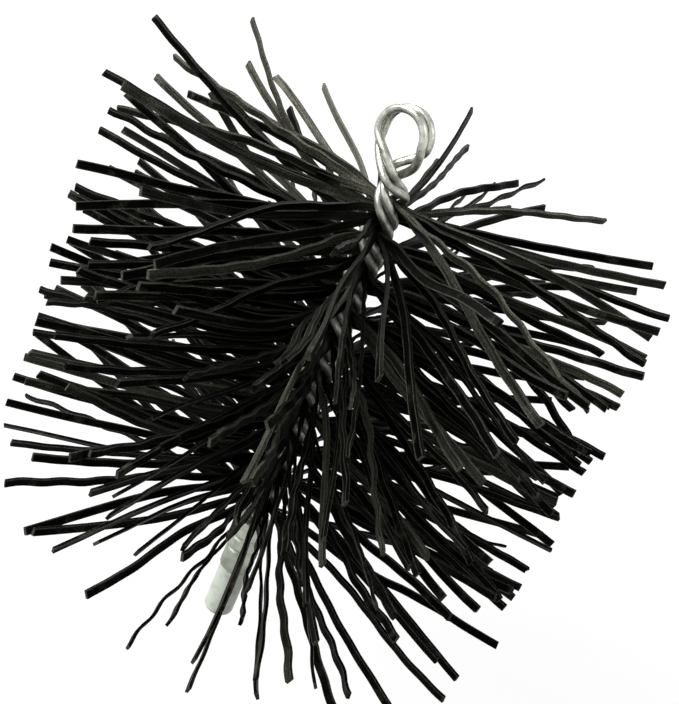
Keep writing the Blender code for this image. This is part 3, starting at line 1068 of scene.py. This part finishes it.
@dataclass
class SwagedFerrule(Turned):
    """The steel sleeve swaged on the wire ends, and its threaded stud."""

    radius: float = 0.00635
    bore: float = 0.0042
    bore_depth: float = 0.006
    over_cap: float = 0.0003
    edge_break: float = 0.0004
    break_share: float = 0.25
    chamfer: float = 0.0009
    chamfer_steps: int = 4
    groove_shares: Span = (0.42, 0.66)
    groove_depth: float = 0.0006
    groove_half: float = 0.0013
    groove_steps: int = 8
    stud_radius: float = 0.00475
    thread_pitch: float = 0.00106
    thread_depth: float = 0.0006
    thread_sunk: float = 0.25
    thread_foot: float = 0.8
    thread_crest: float = 0.14
    thread_segments: int = 28
    relief: float = 0.0018
    crisp_angle: float = 35.0

    def groove(self, middle: float) -> list[Span]:
        """Outline of one rounded swage groove.

        Args:
            middle: Height of its middle.

        Returns:
            (radius, height) points from below to above.
        """
        points = []
        for step in range(self.groove_steps + 1):
            share = step / self.groove_steps * 2 - 1
            depth = self.groove_depth * (1 + math.cos(math.pi * share)) / 2
            points.append((self.radius - depth, middle + share * self.groove_half))
        return points

    def thread(self, bottom: float, top: float) -> Object:
        """Winds the stud's right-handed thread as one ridge, closed at both ends.

        Args:
            bottom: Height where the thread starts.
            top: Height where it ends.

        Returns:
            The ridge.
        """
        turns = math.floor((top - bottom) / self.thread_pitch) - 1
        root, half = self.stud_radius - self.thread_depth, self.thread_pitch / 2
        foot, flat = half * self.thread_foot, half * self.thread_crest
        upper = [(self.stud_radius, flat), (root, foot), (root - self.thread_depth * self.thread_sunk, foot)]
        section = [(radius, -height) for radius, height in upper[::-1]] + upper
        mesh = bpy.data.meshes.new("stud_thread")
        points = [(radius, 0.0, bottom + half + height) for radius, height in section]
        mesh.from_pydata(points, [], [tuple(range(len(points)))])
        ridge = new_object("stud_thread", mesh)
        screw = ridge.modifiers.new("thread", "SCREW")
        screw.angle = math.tau * turns
        screw.screw_offset = self.thread_pitch * turns
        screw.steps = screw.render_steps = self.thread_segments * turns
        screw.use_smooth_shade = True
        make_active(ridge)
        bpy.ops.object.modifier_apply(modifier=screw.name)
        with editing(ridge):
            bpy.ops.mesh.fill_holes(sides=0)
        return ridge

    def build(self, material: Material) -> None:
        """Models the ferrule and hands it over.

        Args:
            material: Its finish.
        """
        low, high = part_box("threaded_ferrule")
        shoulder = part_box("thread_cap")[1].z + self.over_cap
        core = self.stud_radius - self.thread_depth
        soft = self.edge_break * self.break_share
        outline = [
            (0.0, low.z),
            (core - self.chamfer / 2, low.z),
            (core, low.z + self.chamfer / 2),
            (core, shoulder),
            (self.radius - self.edge_break, shoulder),
            (self.radius - soft, shoulder + soft),
            (self.radius, shoulder + self.edge_break),
        ]
        for share in self.groove_shares:
            outline += self.groove(shoulder + share * (high.z - shoulder))
        for turn in self.quarter(self.chamfer_steps):
            drawn_in = self.chamfer * (1 - math.cos(turn))
            outline.append((self.radius - drawn_in, high.z - self.chamfer * (1 - math.sin(turn))))
        floor = high.z - self.bore_depth
        outline += [(self.bore, high.z), (self.bore, floor), (0.0, floor)]
        ferrule = self.spin("swaged_ferrule", outline)
        ferrule = joined([ferrule, self.thread(low.z, shoulder - self.relief)])
        smooth_by_angle(ferrule, self.crisp_angle)
        hand_over(ferrule, "brush", ["threaded_ferrule"], material)


@dataclass
class MilkyCap(Turned):
    """The push-on cap with its rounded end, a soft lip at its mouth and the dimple of its mould gate."""

    wall: float = 0.0009
    floor: float = 0.0018
    foot_radius: float = 0.0037
    lip: float = 0.0004
    lip_break: float = 0.3
    gate_radius: float = 0.0011
    gate_depth: float = 0.0003
    gate_slope: float = 0.3
    corner_steps: int = 10
    crisp_angle: float = 40.0

    def build(self, material: Material) -> None:
        """Models the cap and hands it over.

        Args:
            material: Its finish.
        """
        low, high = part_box("thread_cap")
        outer = (high.x - low.x) / 2
        inner = outer - self.wall
        corner = outer - self.foot_radius
        outline = [
            (0.0, low.z + self.gate_depth),
            (self.gate_radius * (1 - self.gate_slope), low.z + self.gate_depth),
            (self.gate_radius, low.z + self.gate_depth / 2),
            (self.gate_radius * (1 + self.gate_slope), low.z),
        ]
        for turn in self.quarter(self.corner_steps):
            radius = self.foot_radius + corner * math.sin(turn)
            outline.append((radius, low.z + corner * (1 - math.cos(turn))))
        outline += [
            (outer, high.z - self.lip),
            (outer - self.lip * self.lip_break, high.z - self.lip * self.lip_break),
            (outer - self.lip, high.z),
            (inner + self.lip / 2, high.z),
            (inner, high.z - self.lip / 2),
            (inner, low.z + self.floor),
            (0.0, low.z + self.floor),
        ]
        cap = self.spin("milky_thread_cap", outline)
        smooth_by_angle(cap, self.crisp_angle)
        hand_over(cap, "cap", ["thread_cap"], material)


class Lamp(NamedTuple):
    """A soft round lamp.

    Attributes:
        name: Its name.
        way: Where it hangs from the brush: to the right, up and nearer, as the camera sees it.
        size: Its width.
        power: Its power in watts.
    """

    name: str
    way: tuple[float, float, float]
    size: float
    power: float


@dataclass
class Studio:
    """A white floor and background, soft lamps and the photograph's camera."""

    azimuth: float = 26.0
    elevation: float = 27.6
    distance: float = 0.4622
    aim_above_rows: float = 0.066
    rows_bottom: float = 0.0529
    roll: float = 23.0
    pan: float = 0.555
    tilt: float = 0.665
    focal_pixels: float = 1309.0
    long_side_pixels: float = 704.0
    sensor: float = 36.0
    clip: Span = (0.01, 50.0)
    lamps: tuple[Lamp, ...] = (
        Lamp("key_lamp", (-0.75, 1.0, 0.75), 0.7, 25.0),
        Lamp("fill_lamp", (1.0, 0.1, 0.8), 0.9, 2.0),
        Lamp("back_lamp", (0.2, 1.0, -0.6), 0.8, 5.0),
    )
    lamp_distance: float = 1.1
    lamp_rise: float = 0.15
    world_light: float = 0.10
    floor_size: float = 8.0
    floor_below: float = 0.0215
    floor_grey: float = 0.62
    floor_roughness: float = 0.9
    floor_glow: float = 1.14
    glow_spread: Ramp = ((0.35, 0.8), (0.82, 1.0))

    @property
    def aim(self) -> Vector:
        """The point in the stem that the camera and the lamps turn to."""
        return Vector((0, 0, self.rows_bottom + self.aim_above_rows))

    def set_camera(self) -> Object:
        """Sets up the camera where the photograph's was.

        Returns:
            The camera.
        """
        around, above = math.radians(self.azimuth), math.radians(self.elevation)
        level = Vector((math.sin(around), -math.cos(around), 0.0))
        ahead = -(level * math.cos(above) + Vector((0, 0, math.sin(above))))
        place = self.aim - ahead * self.distance
        right = ahead.cross(Vector((0, 0, 1))).normalized()
        up = right.cross(ahead)
        ahead, right = swung(ahead, right, math.radians(self.pan))
        ahead, up = swung(ahead, up, math.radians(self.tilt))
        right, up = swung(right, up, math.radians(self.roll))
        data = bpy.data.cameras.new("photo_camera")
        data.sensor_width = self.sensor
        data.lens = self.sensor * self.focal_pixels / self.long_side_pixels
        data.clip_start, data.clip_end = self.clip
        camera = new_object("photo_camera", data)
        camera.matrix_world = Matrix.Translation(place) @ Matrix((right, up, -ahead)).transposed().to_4x4()
        bpy.context.scene.camera = camera
        return camera

    def hang_lamps(self, camera: Object) -> None:
        """Hangs the soft lamps round the photograph's view.

        Args:
            camera: The camera, whose directions place the lamps.
        """
        turned = camera.matrix_world.to_3x3()
        for lamp in self.lamps:
            away = (turned @ Vector(lamp.way)).normalized() * self.lamp_distance
            away.z = max(away.z, self.lamp_rise)
            data = bpy.data.lights.new(lamp.name, "AREA")
            data.shape = "DISK"
            data.size = lamp.size
            data.energy = lamp.power
            hung = new_object(lamp.name, data)
            hung.location = self.aim + away
            hung.rotation_mode = "QUATERNION"
            hung.rotation_quaternion = away.to_track_quat("Z", "Y")

    def light_world(self) -> None:
        """Lights from all round, and shows white to the camera and in reflections."""
        world = bpy.data.worlds.new("studio")
        bpy.context.scene.world = world
        world.use_nodes = True
        nodes = NodeTree(world.node_tree)
        background = world.node_tree.nodes["Background"]
        strength = nodes.ranged(nodes.seen(), new=(self.world_light, 1.0))
        nodes.fill(background, {"Color": (1.0, 1.0, 1.0, 1.0), "Strength": strength})

    def lay_floor(self) -> None:
        """Lays a white floor below the pulled cap, which glows to the camera and keeps the brush's shadow."""
        deselect_all()
        height = CAD_BOUNDS[0].z - self.floor_below
        bpy.ops.mesh.primitive_plane_add(size=self.floor_size, location=(0, 0, height))
        plane = bpy.context.active_object
        plane.name = "white_floor"
        material, nodes, shader = start_material("white_floor")
        grey = (self.floor_grey, self.floor_grey, self.floor_grey, 1.0)
        nodes.fill(shader, {"Base Color": grey, "Roughness": self.floor_roughness, "Specular IOR Level": 0.0})
        glow = nodes.add("ShaderNodeEmission", {"Strength": self.floor_glow})
        where = nodes.add("ShaderNodeTexCoord")["Object"]
        away = nodes.add("ShaderNodeVectorMath", {0: where}, operation="LENGTH")["Value"]
        glowing = nodes.times(nodes.seen(), nodes.ranged(away, *self.glow_spread))
        mixed = {"Fac": glowing, 1: shader.outputs["BSDF"], 2: glow["Emission"]}
        surface = nodes.add("ShaderNodeMixShader", mixed)["Shader"]
        nodes.fill(material.node_tree.nodes["Material Output"], {"Surface": surface})
        plane.data.materials.append(material)

    def build(self) -> None:
        """Sets up the camera, lamps, world and floor."""
        bpy.context.scene.view_settings.view_transform = "Standard"
        self.hang_lamps(self.set_camera())
        self.light_world()
        self.lay_floor()


def main() -> None:
    """Builds and dresses the brush, then the studio."""
    logging.basicConfig(level=logging.INFO, format="%(name)s: %(message)s")
    effects = SurfaceEffects()
    wire = PlatedSteel(
        name="galvanised_wire",
        bright=(0.62, 0.63, 0.565),
        dull=(0.23, 0.235, 0.195),
        stain=(0.040, 0.039, 0.032),
        roughness=(0.20, 0.35),
        stain_heights=(0.161, 0.208),
        most_stain=0.8,
    )
    sleeve = PlatedSteel(
        name="zinc_plated_steel",
        bright=(0.42, 0.455, 0.385),
        dull=(0.27, 0.295, 0.245),
        stain=(0.12, 0.11, 0.08),
        roughness=(0.34, 0.50),
        stain_heights=(0.022, 0.034),
        most_stain=0.6,
        lines=700.0,
    )
    FoldedWires().build(wire.material(effects))
    SwagedFerrule().build(sleeve.material(effects))
    MilkyCap().build(MilkyPlastic().material(effects))
    BristleRows().build(BristlePlastic().material(effects))
    Studio().build()


if __name__ == "__main__":
    main()
